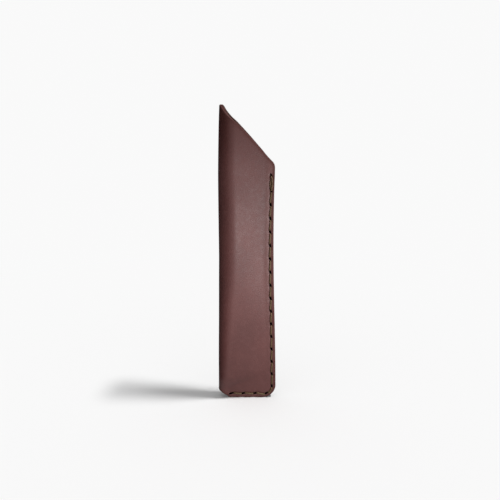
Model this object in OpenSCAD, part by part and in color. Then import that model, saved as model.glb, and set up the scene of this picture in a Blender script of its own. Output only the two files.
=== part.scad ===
// Single pen sleeve: one leather panel folded once and saddle stitched along the free side and the bottom.
// It stands upright: the fold is at -X, the stitched side at +X and the front face looks towards -Y.
// The origin is the middle of the base. Lengths are in millimetres and angles in degrees.

/* [Sleeve] */
// Height of the tip above the base
tip_h = 151.2; // [110:0.1:185]
// Width of the closed sleeve near its foot, from the fold to the stitched edge
body_w = 29.9; // [25:0.1:38]
// Thickness of the leather
leather_t = 2; // [1.4:0.1:2.4]
// Chamfer of the burnished edges
edge_round = 0.35; // [0.1:0.05:0.5]

/* [Mouth] */
// Slope of the mouth cut, measured in the flat leather
mouth_angle = 45; // [35:0.5:50]
// Radius that rounds the tip, measured in the flat leather
tip_r = 5.6; // [2:0.1:8]
// Radius of the low corner of the mouth
mouth_corner_r = 3.6; // [1:0.1:5]

/* [Fold] */
// Bend radius of the fold at the belly, to the middle of the leather
belly_bend_r = 6.4; // [4.5:0.1:7]
// Bend radius of the fold just above the foot
low_bend_r = 3.5; // [2.5:0.1:5]
// Bend radius of the fold in the bottom seam
foot_bend_r = 2; // [1.8:0.1:2.4]
// Height of the belly, where the sleeve is fullest
belly_z = 91; // [70:1:120]
// Distance that the belly draws the fold inwards
spine_draw = 1; // [0:0.1:2]
// Distance that the belly draws the stitched edge inwards
seam_draw = 1.7; // [0:0.1:3]
// Distance that the tip leans inwards
tip_curl = 1; // [0:0.1:3]
// Radius that leads each face into the stitched side
flank_r = 8; // [5:0.5:12]

/* [Foot] */
// Radius of the bottom corner on the stitched side
corner_r = 8.2; // [5:0.1:9]
// Height of the corner cut off at the foot of the fold
cut_h = 4.9; // [3:0.1:7]
// Width of the corner cut off at the foot of the fold
cut_w = 5.6; // [4.8:0.1:6.5]

/* [Seam] */
// Width of the flat seam along the stitched side
side_seam_w = 4; // [3.6:0.1:6]
// Height of the flat seam along the bottom
bottom_seam_h = 3.9; // [3.8:0.1:6]
// Distance from the stitched edge to the stitch line at the mouth
inset_top = 1.65; // [1.5:0.05:2.2]
// Distance from the stitched edge to the stitch line at the foot
inset_foot = 2.05; // [1.6:0.05:2.3]
// Height of the bottom stitch line
bottom_inset = 2.2; // [1.8:0.05:2.4]
// Thickness of the glue film between the two layers
glue_t = 0.12; // [0.08:0.01:0.3]

/* [Stitches] */
// Distance wanted between neighbouring slits down the side
side_pitch = 7; // [5.5:0.1:9]
// Height of the lowest slit of the side
first_slit_z = 6.4; // [6:0.1:9]
// Distance from the low corner of the mouth down to the highest slit
mouth_margin = 4.3; // [3:0.1:8]
// Distance wanted between neighbouring slits along the bottom
bottom_pitch = 6; // [5.5:0.1:8]
// Distance from the stitched edge to the first slit of the bottom
bottom_start = 4.85; // [4.5:0.05:6]
// Distance from the cut corner to the last slit of the bottom
bottom_end = 1.3; // [1:0.1:3]
// Diameter of the waxed thread
thread_d = 0.9; // [0.6:0.05:1]
// Half the distance between the two strands in a slit
strand_gap = 1.1; // [1:0.05:1.25]
// Sideways lean of each strand in a slit
strand_lean = 0.3; // [0.2:0.05:0.4]
// Depth of the print that each front stitch presses into the leather
print_depth = 0.4; // [0:0.05:0.6]
// Play around the thread
thread_play = 0.06; // [0.03:0.01:0.1]

/* [Hidden] */
mid = leather_t / 2;
// Distance of each layer's middle from the plane of the seam
layer_y = mid + glue_t / 2;
// Outer face of the flat seam
face_y = leather_t + glue_t / 2;
thread_r = thread_d / 2;
// Height up to which the pocket opens above the bottom seam
closing_z = 16;
// Height above which the cross-section no longer changes
steady_z = 118;
// Horizontal reach of the bend that closes the foot of the fold
foot_reach = 2.45 * foot_bend_r;
bend_cols = 9;
flank_cols = 11;
// Distances of the seam's columns from the stitched edge
seam_cols = [0.72, 0.5, 0.33, 0.19, edge_round / side_seam_w, 0];
thread_sides = 6;
// Bare margin of the seam round the glue film
glue_margin = 0.2;
// Radius of the thread's path where it turns into a slit
turn_r = 0.6;
// Distance between strands that lie beside or on top of each other
strand_step = thread_d + 0.03;

// Soft step from 0 to 1 between two heights
function soft(a, b, z) = let (u = min(1, max(0, (z - a) / (b - a)))) u * u * (3 - 2 * u);
function mix(a, b, u) = a + (b - a) * u;
function flip(v) = [for (i = [len(v) - 1 : -1 : 0]) v[i]];
function unit(v) = v / norm(v);
// Fullness of the sleeve: 0 at the base and 1 at the belly
function fullness(z) = pow(sin(90 * min(z, steady_z) / belly_z), 2);
// Stitched edge at height z
function edge_x(z) = body_w / 2 - seam_draw * fullness(z);
// Middle of the leather on the fold's outermost line
function spine_x(z) = let (lean = max(0, z - 0.72 * tip_h) / (0.28 * tip_h))
    mid - body_w / 2 + spine_draw * fullness(z) + tip_curl * lean * lean;

// Largest lead-in radius that still leaves a straight flank between it and the bend
function lead_limit(dx, bend) = (dx * dx + layer_y * layer_y - bend * bend) / (2 * (bend - layer_y));

// Cross-section at height z, in the middle of the leather:
// fold line x, bend radius, lead-in radius, width, flat seam width, straight flank length, flank angle
function section(z) =
    let (zs = min(z, steady_z))
    let (full_r = mix(low_bend_r, belly_bend_r, fullness(zs)))
    let (bend = mix(foot_bend_r, full_r, soft(bottom_seam_h, 12, zs)))
    let (opening = soft(bottom_seam_h, closing_z, zs))
    let (w = body_w - mid - (spine_draw + seam_draw) * fullness(zs))
    let (flat = mix(w - foot_reach, side_seam_w, opening))
    let (dx = w - flat - bend)
    let (lead = min(mix(foot_bend_r, flank_r, opening), 0.9 * lead_limit(dx, bend)), dy = layer_y + lead)
    let (flank = sqrt(max(0, dx * dx + dy * dy - pow(bend + lead, 2))))
    let (angle = 90 - atan2(flank, bend + lead) - atan2(dy, dx))
    [spine_x(z), bend, lead, w, flat, flank, angle];

// One point of a half section: place in the middle of the leather, slope, and length of leather from the fold.
// A column is [0, angle round the bend], [1, share of the face] or [2, share of the side seam's width].
function half_point(col, s) =
    let (bend = s[1], lead = s[2], w = s[3], a = s[6])
    let (x = col[0] == 1 ? mix(bend, w - side_seam_w, col[1]) : w - side_seam_w * col[1])
    let (x1 = bend + bend * sin(a), x3 = w - s[4], x2 = x3 - lead * sin(a))
    let (arc = PI / 180)
    col[0] == 0 ? [bend * (1 - cos(col[1])), bend * sin(col[1]), 90 - col[1], bend * col[1] * arc]
    : x < x1 ? let (q = asin((x - bend) / bend)) [x, bend * cos(q), -q, bend * (90 + q) * arc]
    : x < x2 ? [x, bend * cos(a) - (x - x1) * tan(a), -a, bend * (90 + a) * arc + (x - x1) / cos(a)]
    : x < x3 ? let (q = asin((x3 - x) / lead))
        [x, layer_y + lead * (1 - cos(q)), -q, bend * (90 + a) * arc + s[5] + lead * (a - q) * arc]
    : [x, layer_y, 0, bend * (90 + a) * arc + s[5] + lead * a * arc + x - x3];

// Point of a column at height z, off by a distance along the outward normal
function shell_point(col, z, off) =
    let (s = section(z), p = half_point(col, s))
    [s[0] + p[0] - off * sin(p[2]), p[1] + off * cos(p[2]), z];
function leather_length(col, z) = half_point(col, section(z))[3];

// Mouth of the flat panel: height at a length of leather from the fold, for a panel of half width full
function mouth_line(len, full) =
    let (k = tan(mouth_angle), c = cos(mouth_angle), sn = sin(mouth_angle))
    let (low = full - mouth_corner_r, bend_in = low + mouth_corner_r * sn)
    let (shoulder = tip_h - tip_r + tip_r * c)
    let (end_z = shoulder - k * (bend_in - tip_r * sn) - mouth_corner_r * c)
    len < tip_r * sn ? tip_h - tip_r + sqrt(tip_r * tip_r - len * len)
    : len < bend_in ? shoulder - k * (len - tip_r * sn)
    : end_z + sqrt(max(0, pow(mouth_corner_r, 2) - pow(len - low, 2)));
function mouth_z(col, z = 130, n = 5) =
    n == 0 ? z : mouth_z(col, mouth_line(leather_length(col, z), leather_length([2, 0], z)), n - 1);

// Foot of the folded panel: height of the edge at x
function foot_line(x) =
    let (from_fold = x + body_w / 2, into = x - body_w / 2 + corner_r)
    let (round_z = into > 0 ? corner_r - sqrt(max(0, corner_r * corner_r - into * into)) : 0)
    max(0, cut_h * (1 - from_fold / cut_w), round_z);
function foot_z(col, off, z = 2, n = 4) =
    n == 0 ? z : foot_z(col, off, foot_line(shell_point(col, z, off)[0]), n - 1);

half_cols = concat(
    [for (i = [0 : bend_cols]) [0, 90 * i / bend_cols]],
    [for (i = [1 : flank_cols]) [1, i / flank_cols]],
    [for (d = seam_cols) [2, d]]);
low_rows = [0, 0.12, (bottom_seam_h - edge_round) / (closing_z - edge_round), 0.33, 0.45, 0.6, 0.8];
high_rows = [0, 0.09, 0.18, 0.27, 0.36, 0.45, 0.54, 0.63, 0.72, 0.81, 0.9, 1];
function row_heights(low, high) =
    concat([for (f = low_rows) mix(low, closing_z, f)], [for (f = high_rows) mix(closing_z, high, f)]);

// Loop round the thickness of the leather at one column: up the outside, over the mouth, down the inside
function column_loop(col) =
    let (e = edge_round, top = mouth_z(col), outer = col == [2, 0] ? mid - e : mid)
    let (foot = foot_z(col, outer), foot_in = foot_z(col, -mid))
    concat(
        [shell_point(col, foot_z(col, mid - e), mid - e)],
        [for (z = row_heights(foot + e, top - e)) shell_point(col, z, outer)],
        [shell_point(col, top, mid - e), shell_point(col, top, e - mid)],
        [for (z = flip(row_heights(foot_in + e, top - e))) shell_point(col, z, -mid)],
        [shell_point(col, foot_in, -mid)]);
function to_front(loop) = [for (p = loop) [p[0], -p[1], p[2]]];

module folded_panel() {
    half = [for (col = half_cols) column_loop(col)];
    last = len(half) - 1;
    loops = concat([for (i = [last : -1 : 1]) half[i]], [for (h = half) to_front(h)]);
    m = len(half[0]);
    cols = len(loops);
    walls = [
        for (i = [0 : cols - 2], j = [0 : m - 1])
        let (a = i * m + j, b = i * m + (j + 1) % m, c = a + m, d = b + m)
        each [[a, b, c], [b, d, c]]
    ];
    ends = [
        for (e = [0, 1], k = [0 : m / 2 - 2])
        let (o = e * (cols - 1) * m, a = o + k, b = o + k + 1, c = o + m - 2 - k, d = o + m - 1 - k)
        each e == 0 ? [[a, c, b], [a, d, c]] : [[a, b, c], [a, c, d]]
    ];
    polyhedron(points = [for (l = loops) each l], faces = concat(walls, ends), convexity = 8);
}

// Places of the slits on the seam, from the mouth down the side and then along the bottom
function spread(from, to, pitch) =
    let (n = max(1, round(abs(to - from) / pitch))) [for (i = [0 : n]) mix(from, to, i / n)];
side_heights = flip(spread(first_slit_z, mouth_z([2, 0]) - mouth_margin, side_pitch));
bottom_places = spread(body_w / 2 - bottom_start, cut_w + bottom_end - body_w / 2, bottom_pitch);
side_slits = len(side_heights);
slits = concat(
    [for (z = side_heights) [edge_x(z) - mix(inset_foot, inset_top, z / side_heights[0]), z]],
    [for (x = bottom_places) [x, bottom_inset]]);
last_slit = len(slits) - 1;
// Direction of the seam at slit k, turned a little at the two slits beside the corner
function along(k) =
    let (side = unit(slits[min(k + 1, side_slits - 1)] - slits[max(k - 1, 0)]))
    let (line = k < side_slits ? side : [-1, 0])
    let (turn = unit(slits[side_slits] - slits[side_slits - 1]))
    k == side_slits - 1 || k == side_slits ? unit(line + 0.35 * turn) : line;
function across(k) = let (t = along(k)) [-t[1], t[0]];
// Point at slit k: distance along the seam, distance across it and depth from front to back
function at_slit(k, p) = let (q = slits[k] + along(k) * p[0] + across(k) * p[1]) [q[0], p[2], q[1]];

module slit_outline(k) {
    u = unit([strand_gap, strand_lean]);
    reach = norm([strand_gap, strand_lean]) + thread_r + 2 * thread_play;
    w = thread_r + thread_play;
    corners = [[reach, 0.45 * w], [reach - 0.4, w], [0.4 - reach, w], [-reach, 0.45 * w]];
    outline = concat(corners, [for (c = flip(corners)) [c[0], -c[1]]]);
    polygon([
        for (c = outline)
        slits[k] + along(k) * (c[0] * u[0] - c[1] * u[1]) + across(k) * (c[0] * u[1] + c[1] * u[0])
    ]);
}

// Cut through both layers, from the front face to the back face
module slit_cut(k, depth) {
    translate([0, depth / 2, 0])
        rotate([90, 0, 0])
            linear_extrude(height = depth)
                slit_outline(k);
}

// Print of one front stitch, from the lower strand of slit k to the upper strand of the next slit
module stitch_print(k) {
    w = thread_r + thread_play;
    function spot(j, side, s, n) = slits[j] + side * (along(j) * s + across(j) * strand_lean) + n;
    far = strand_gap + turn_r;
    run = unit(spot(k + 1, -1, far, [0, 0]) - spot(k, 1, far, [0, 0]));
    n = [-run[1], run[0]] * w;
    function bank(d) = [
        spot(k, 1, strand_gap, d * across(k) * w), spot(k, 1, far, d * n),
        spot(k + 1, -1, far, d * n), spot(k + 1, -1, strand_gap, d * across(k + 1) * w)
    ];
    translate([0, print_depth - face_y, 0])
        rotate([90, 0, 0])
            linear_extrude(height = print_depth + 1)
                polygon(concat(bank(1), flip(bank(-1))));
}

module leather_wrap() {
    color([0.42, 0.27, 0.25])
        difference() {
            folded_panel();
            for (k = [0 : last_slit]) slit_cut(k, 2 * face_y + 4);
            for (k = [0 : last_slit - 1]) stitch_print(k);
        }
}

module seam_glue() {
    side_w = side_seam_w - 2 * glue_margin;
    low = bottom_seam_h - 1.5 * glue_margin;
    start = foot_reach + mid + glue_margin - body_w / 2;
    rise = [for (i = [0 : 16]) mix(corner_r, mouth_z([2, 0.5]) - 10 * glue_margin, i / 16)];
    centre = [body_w / 2 - corner_r, corner_r];
    corner = [for (a = [-90 : 10 : -10]) centre + (corner_r - glue_margin) * [cos(a), sin(a)]];
    side_out = [for (z = rise) [edge_x(z) - glue_margin, z]];
    side_in = [for (z = flip(rise)) [edge_x(z) - side_w, z]];
    bottom = [[edge_x(low) - side_w, low], [start, low], [start, glue_margin]];
    color([0.78, 0.7, 0.48])
        difference() {
            translate([0, glue_t / 2, 0])
                rotate([90, 0, 0])
                    linear_extrude(height = glue_t)
                        polygon(concat(corner, side_out, side_in, bottom));
            for (k = [0 : last_slit]) slit_cut(k, glue_t + 1);
        }
}

front_y = -(face_y - print_depth + thread_r + thread_play / 2);
back_y = face_y + thread_r + thread_play / 2;
// Lane that a back strand keeps beside the strand in the same slit
lane = strand_step - strand_lean;

// Strand through slit k from the front to the back, at distance s and lean c. It runs away along the seam
// towards f on the front and towards b on the back, in the lanes fl and bl and at the levels fy and by.
function through(k, s, c, f, b, fl, bl, fy = front_y, by = back_y) =
    let (steps = [0, 30, 60, 90], r = turn_r)
    let (in_lane = [for (a = steps) mix(fl, c, soft(0, 70, a))])
    let (out_lane = [for (a = steps) mix(c, bl, soft(20, 90, a))])
    let (rise = [for (a = steps) r * (1 - cos(a))], run = [for (a = steps) r * (1 - sin(a))])
    let (into = [for (i = [0 : 3]) [s + f * run[i], in_lane[i], fy + rise[i]]])
    let (out = [for (i = [0 : 3]) [s + b * rise[i], out_lane[i], by - run[i]]])
    [for (p = concat(into, out)) at_slit(k, p)];
// Strand that comes down the front, goes through and leaves down the back
function to_back(k, bl = -lane) = through(k, -strand_gap, -strand_lean, -1, 1, -strand_lean, bl);
// Strand that comes down the back, goes through and leaves down the front
function to_front_face(k) = flip(through(k, strand_gap, strand_lean, 1, -1, strand_lean, lane));
// Back stitch from slit k to the next, changing lanes half way
function back_run(k) =
    [at_slit(k, [1.65, -lane, back_y]), at_slit(k + 1, [-1.85, lane + 0.03, back_y])];
// End of a strand in the last slit: cut off on the back, or buried between the layers
function end_on_back(k) =
    concat([for (i = [0 : 3]) to_back(k)[i]], [at_slit(k, [-strand_gap, -strand_lean, face_y + 0.3])]);
function end_inside(k) =
    concat([for (i = [0 : 3]) to_front_face(k)[i]], [at_slit(k, [strand_gap, strand_lean, 0])]);
// Rest of one strand from slit k on, when it arrives there on the front or on the back
function strand(k, front) =
    k == last_slit ? (front ? end_on_back(k) : end_inside(k))
    : front ? concat(to_back(k), back_run(k), strand(k + 1, false))
    : concat(to_front_face(k), strand(k + 1, true));

// The thread starts with its middle in the second slit and doubles the first stitch on both faces.
// The first half rises out of slit 1, passes over the first stitch to slit 0 and comes back behind it.
out_of_1 = [
    [0, 0, -1.2], [-0.08, 0.05, -1.9], [-0.35, 0.15, -2.5], [-0.8, 0.3, -2.86],
    [-1.3, 0.32, front_y - 0.84]
];
into_0 = [
    [1.3, 0.3, front_y - 0.98], [0.6, 0.2, front_y - 0.86], [0.18, 0.05, front_y - 0.45],
    [0, 0, front_y + 0.15]
];
out_of_0 = [[0, 0, 1.6], [0.06, 0.05, 2.3], [0.35, 0.15, 3.05], [0.8, 0.3, back_y + 0.95]];
into_1 = [
    [-0.2, 0.55, back_y + 0.98], [0.5, 0.45, back_y + 0.8], [0.95, 0.35, back_y + 0.25],
    [1.1, 0.3, back_y - 0.5]
];
// The second half leaves slit 1 on the back, below the first half
behind_1 = [
    [0, 0, 1.5], [-0.08, 0.1, back_y - 0.4], [-0.3, 0.35, back_y - 0.08],
    [-0.7, 0.6, back_y], [-1.7, 0.68, back_y]
];
first_half = concat(
    [for (p = out_of_1) at_slit(1, p)],
    [for (p = into_0) at_slit(0, p)],
    [for (p = out_of_0) at_slit(0, p)],
    [for (p = into_1) at_slit(1, p)],
    [for (i = [4 : 7]) to_front_face(1)[i]]);
second_half = concat(
    [for (p = behind_1) at_slit(1, p)],
    flip(through(0, strand_gap, strand_lean, 1, 1, strand_lean, lane)),
    to_back(1, -strand_step - 0.02));
// Both halves go on to the last slit, where the ends are cut off
first_rest = strand(2, true);
second_rest = strand(2, false);
thread_line = concat(
    flip(concat(second_half, back_run(1), second_rest)),
    first_half,
    first_rest);
// Sharp turns of the thread are rounded
function is_sharp(v, i) =
    i > 0 && i < len(v) - 1 && unit(v[i] - v[i - 1]) * unit(v[i + 1] - v[i]) < cos(33);
thread_path = [
    for (i = [0 : len(thread_line) - 1])
    each is_sharp(thread_line, i)
        ? [mix(thread_line[i], thread_line[i - 1], 0.25), mix(thread_line[i], thread_line[i + 1], 0.25)]
        : [thread_line[i]]
];

// Nearest slit, whose sideways direction keeps the tube from twisting
function nearest(p, k = 0, best = 0) =
    k > last_slit ? best
    : nearest(p, k + 1, norm(slits[k] - [p[0], p[2]]) < norm(slits[best] - [p[0], p[2]]) ? k : best);

module tube(path, r, sides) {
    n = len(path);
    turns = [for (j = [0 : sides - 1]) 360 * (j + 0.5) / sides];
    rings = [
        for (i = [0 : n - 1])
        let (t = unit(path[min(i + 1, n - 1)] - path[max(i - 1, 0)]))
        let (side = across(nearest(path[i])), ref = [side[0], 0, side[1]])
        let (u = unit(ref - (ref * t) * t), v = cross(t, u))
        [for (a = turns) path[i] + r * (cos(a) * u + sin(a) * v)]
    ];
    skin = [
        for (i = [0 : n - 2], j = [0 : sides - 1])
        let (a = i * sides + j, b = i * sides + (j + 1) % sides)
        each [[a, a + sides, b], [b, a + sides, b + sides]]
    ];
    ends = [[for (j = [0 : sides - 1]) j], [for (j = [sides - 1 : -1 : 0]) (n - 1) * sides + j]];
    polyhedron(points = [for (g = rings) each g], faces = concat(skin, ends), convexity = 12);
}

module saddle_thread() {
    color([0.38, 0.33, 0.22])
        tube(thread_path, thread_r, thread_sides);
}

leather_wrap();
saddle_thread();
seam_glue();
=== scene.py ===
"""Looks of a single pen sleeve.

Brown leather is folded on its left side and saddle stitched on its right and bottom.
"""

import logging
import math
from dataclasses import dataclass, field
from enum import Enum
from typing import Callable, Sequence

import bpy
import numpy as np
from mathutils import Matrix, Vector
from mathutils.kdtree import KDTree


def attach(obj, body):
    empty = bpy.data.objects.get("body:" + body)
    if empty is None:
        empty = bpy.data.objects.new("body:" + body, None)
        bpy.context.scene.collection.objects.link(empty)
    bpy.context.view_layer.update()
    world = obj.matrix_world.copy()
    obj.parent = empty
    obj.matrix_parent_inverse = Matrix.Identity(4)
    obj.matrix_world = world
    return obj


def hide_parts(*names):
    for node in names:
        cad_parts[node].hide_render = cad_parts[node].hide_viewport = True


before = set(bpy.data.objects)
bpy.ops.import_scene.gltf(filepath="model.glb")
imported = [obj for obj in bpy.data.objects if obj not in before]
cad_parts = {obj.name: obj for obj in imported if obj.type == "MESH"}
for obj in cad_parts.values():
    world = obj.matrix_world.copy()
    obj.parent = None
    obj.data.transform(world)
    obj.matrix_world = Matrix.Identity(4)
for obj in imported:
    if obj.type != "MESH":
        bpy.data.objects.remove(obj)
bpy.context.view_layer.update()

log = logging.getLogger("pen_sleeve")
MM = 0.001
FAR_OFF = 9.0  # in millimetres, past the reach of every rim and print
Array = np.ndarray
Colour = tuple[float, float, float]
Column = tuple[int, float]
Span = tuple[float, float]
Object = bpy.types.Object
Material = bpy.types.Material
Socket = bpy.types.NodeSocket


class Face(Enum):
    """A side of the closed sleeve, with its direction along Y."""

    FRONT = -1
    BACK = 1


class Layer(Enum):
    """What a leather face shows, which is also the order of the panel's materials."""

    GRAIN = 0
    FLESH = 1
    EDGE = 2
    SLIT = 3


def soft(a: float, b: float, z: Array) -> Array:
    """Soft step from 0 at a to 1 at b."""
    u = np.clip((np.asarray(z, float) - a) / (b - a), 0.0, 1.0)
    return u * u * (3 - 2 * u)


def mix(a: Array, b: Array, u: Array) -> Array:
    """Blend of a and b by the share u."""
    return a + (b - a) * u


def unit(v: Array) -> Array:
    """v with length 1."""
    v = np.asarray(v, float)
    return v / np.linalg.norm(v)


def gather(starts: Sequence[float], steps: Sequence[Span]) -> Array:
    """Distances that grow by a given step up to each given end.

    Args:
        starts: the first distances, taken as they are.
        steps: pairs of a step and the distance that it goes up to.

    Returns:
        All distances in rising order.
    """
    found = list(starts)
    for step, end in steps:
        count = max(1, round((end - found[-1]) / step))
        found += list(np.linspace(found[-1], end, count + 1)[1:])
    return np.array(found)


def strip(rings: int, count: int) -> Array:
    """Faces that join rings of points, one after the other.

    Args:
        rings: number of rings.
        count: points in each.

    Returns:
        Four vertex numbers for each face.
    """
    start, turn = np.arange(rings - 1)[:, None] * count, np.arange(count)[None, :]
    a, b = (start + turn).ravel(), (start + (turn + 1) % count).ravel()
    return np.stack([a, b, b + count, a + count], -1)


@dataclass(frozen=True)
class SleeveShape:
    """Sizes of the folded panel and its seam, in millimetres."""

    tip_h: float = 151.2
    body_w: float = 29.9
    leather_t: float = 2.0
    mouth_angle: float = 45.0
    tip_r: float = 5.6
    mouth_corner_r: float = 3.6
    mouth_bow: float = 0.5
    belly_bend_r: float = 6.4
    low_bend_r: float = 3.5
    foot_bend_r: float = 2.0
    belly_z: float = 91.0
    spine_draw: float = 1.0
    seam_draw: float = 1.7
    tip_curl: float = 1.0
    flank_r: float = 8.0
    corner_r: float = 7.0
    cut_h: float = 4.9
    cut_w: float = 5.6
    side_seam_w: float = 4.0
    bottom_seam_h: float = 3.9
    inset_top: float = 1.65
    inset_foot: float = 2.05
    bottom_inset: float = 2.2
    glue_t: float = 0.12
    side_pitch: float = 7.0
    first_slit_z: float = 6.4
    mouth_margin: float = 4.3
    bottom_pitch: float = 6.0
    bottom_start: float = 4.85
    bottom_end: float = 1.3
    closing_z: float = 16.0
    steady_z: float = 118.0
    lean_from: float = 0.72
    foot_open_z: float = 12.0
    foot_flat: float = 2.45
    lead_limit: float = 0.9
    mouth_guess: float = 130.0
    mouth_rounds: int = 6
    foot_guess: float = 2.0
    foot_rounds: int = 5

    @property
    def mid(self) -> float:
        """Half the leather's thickness."""
        return self.leather_t / 2

    @property
    def layer_y(self) -> float:
        """Distance of each layer's middle from the plane of the seam."""
        return self.mid + self.glue_t / 2

    @property
    def face_y(self) -> float:
        """Distance of the flat seam's outer face from the plane of the seam."""
        return self.leather_t + self.glue_t / 2

    def fullness(self, z: Array) -> Array:
        """0 at the base and 1 at the belly."""
        return np.sin(np.radians(90 * np.minimum(z, self.steady_z) / self.belly_z)) ** 2

    def edge_x(self, z: Array) -> Array:
        """The stitched edge at height z."""
        return self.body_w / 2 - self.seam_draw * self.fullness(z)

    def spine_x(self, z: Array) -> Array:
        """Middle of the leather on the fold's outermost line, which leans in at the tip.

        Args:
            z: heights.

        Returns:
            Places along X.
        """
        start = self.lean_from * self.tip_h
        curl = self.tip_curl * (np.maximum(0, z - start) / (self.tip_h - start)) ** 2
        return self.mid - self.body_w / 2 + self.spine_draw * self.fullness(z) + curl

    def section(self, z: Array) -> dict[str, Array]:
        """Cross-section at height z, in the middle of the leather.

        Args:
            z: heights.

        Returns:
            Fold line, bend radius, lead-in radius, width, flat seam width, flank length and angle.
        """
        zs = np.minimum(z, self.steady_z)
        full_r = mix(self.low_bend_r, self.belly_bend_r, self.fullness(zs))
        bend = mix(self.foot_bend_r, full_r, soft(self.bottom_seam_h, self.foot_open_z, zs))
        opening = soft(self.bottom_seam_h, self.closing_z, zs)
        w = self.body_w - self.mid - (self.spine_draw + self.seam_draw) * self.fullness(zs)
        flat = mix(w - self.foot_flat * self.foot_bend_r, self.side_seam_w, opening)
        dx = w - flat - bend
        limit = (dx**2 + self.layer_y**2 - bend**2) / (2 * (bend - self.layer_y))
        lead = np.minimum(mix(self.foot_bend_r, self.flank_r, opening), self.lead_limit * limit)
        dy = self.layer_y + lead
        flank = np.sqrt(np.maximum(0, dx**2 + dy**2 - (bend + lead) ** 2))
        angle = np.pi / 2 - np.arctan2(flank, bend + lead) - np.arctan2(dy, dx)
        return dict(
            spine=self.spine_x(z), bend=bend, lead=lead, w=w, flat=flat, flank=flank, angle=angle
        )

    def half_point(self, col: Column, z: Array) -> tuple[Array, Array, Array]:
        """Where a column of the panel lies at heights z.

        Args:
            col: kind and place: 0 and the angle round the bend, 1 and the share of the face, or
                2 and the distance from the stitched edge.
            z: heights.

        Returns:
            The points in the middle of the leather, their slopes in radians, and the leather's
            length from the fold.
        """
        s = self.section(z)
        bend, lead, w, a = s["bend"], s["lead"], s["w"], s["angle"]
        kind, value = col
        if kind == 0:
            turn = math.radians(value)
            x, y = bend * (1 - math.cos(turn)), bend * math.sin(turn)
            slope, length = np.full_like(bend, np.pi / 2 - turn), bend * turn
        else:
            seam = w - self.side_seam_w
            x = mix(bend, seam, value) if kind == 1 else w - value + 0 * bend
            x1 = bend * (1 + np.sin(a))
            x3 = w - s["flat"]
            x2 = x3 - lead * np.sin(a)
            q1 = np.arcsin(np.clip((x - bend) / bend, -1, 1))
            q3 = np.arcsin(np.clip((x3 - x) / lead, -1, 1))
            to_flank = bend * (np.pi / 2 + a)
            at = [x < x1, x < x2, x < x3]
            y = np.select(
                at,
                [
                    bend * np.cos(q1),
                    bend * np.cos(a) - (x - x1) * np.tan(a),
                    self.layer_y + lead * (1 - np.cos(q3)),
                ],
                self.layer_y,
            )
            slope = np.select(at, [-q1, -a, -q3], 0.0)
            length = np.select(
                at,
                [
                    bend * (np.pi / 2 + q1),
                    to_flank + (x - x1) / np.cos(a),
                    to_flank + s["flank"] + lead * (a - q3),
                ],
                to_flank + s["flank"] + lead * a + x - x3,
            )
        return np.stack([s["spine"] + x, y, np.broadcast_to(z, x.shape)], -1), slope, length

    def mouth_line(self, length: Array, full: Array) -> Array:
        """Mouth of the flat panel: a round tip, a slant that bows a little, and a round corner.

        Args:
            length: leather's length from the fold.
            full: length of the whole half panel.

        Returns:
            Heights of the mouth.
        """
        slant = math.radians(self.mouth_angle)
        k, c, sn = math.tan(slant), math.cos(slant), math.sin(slant)
        low = full - self.mouth_corner_r
        start, end = self.tip_r * sn, low + self.mouth_corner_r * sn
        shoulder = self.tip_h - self.tip_r + self.tip_r * c
        end_z = shoulder - k * (end - start) - self.mouth_corner_r * c
        share = np.clip((length - start) / (end - start), 0, 1)
        bow = self.mouth_bow * np.sin(np.pi * share) ** 2
        nub = self.tip_h - self.tip_r + np.sqrt(np.maximum(0, self.tip_r**2 - length**2))
        corner = end_z + np.sqrt(np.maximum(0, self.mouth_corner_r**2 - (length - low) ** 2))
        slope = shoulder - k * (length - start) + bow
        return np.where(length < start, nub, np.where(length < end, slope, corner))

    def mouth_z(self, col: Column) -> float:
        """Height of the mouth on a column, found in a few rounds.

        Args:
            col: the column, as half_point takes it.

        Returns:
            The height.
        """
        z = np.array([self.mouth_guess])
        for _ in range(self.mouth_rounds):
            z = self.mouth_line(self.half_point(col, z)[2], self.half_point((2, 0.0), z)[2])
        return float(z[0])

    def foot_z(self, col: Column) -> float:
        """Height of the foot's edge on a column, found in a few rounds.

        Args:
            col: the column, as half_point takes it.

        Returns:
            The height, which is 0 between the cut corner and the round one.
        """
        z = self.foot_guess
        for _ in range(self.foot_rounds):
            x = float(self.half_point(col, np.array([z]))[0][0, 0])
            from_fold, into = x + self.body_w / 2, x - self.body_w / 2 + self.corner_r
            deep = math.sqrt(max(0.0, self.corner_r**2 - into * into))
            round_z = self.corner_r - deep if into > 0 else 0.0
            z = max(0.0, self.cut_h * (1 - from_fold / self.cut_w), round_z)
        return z


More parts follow.
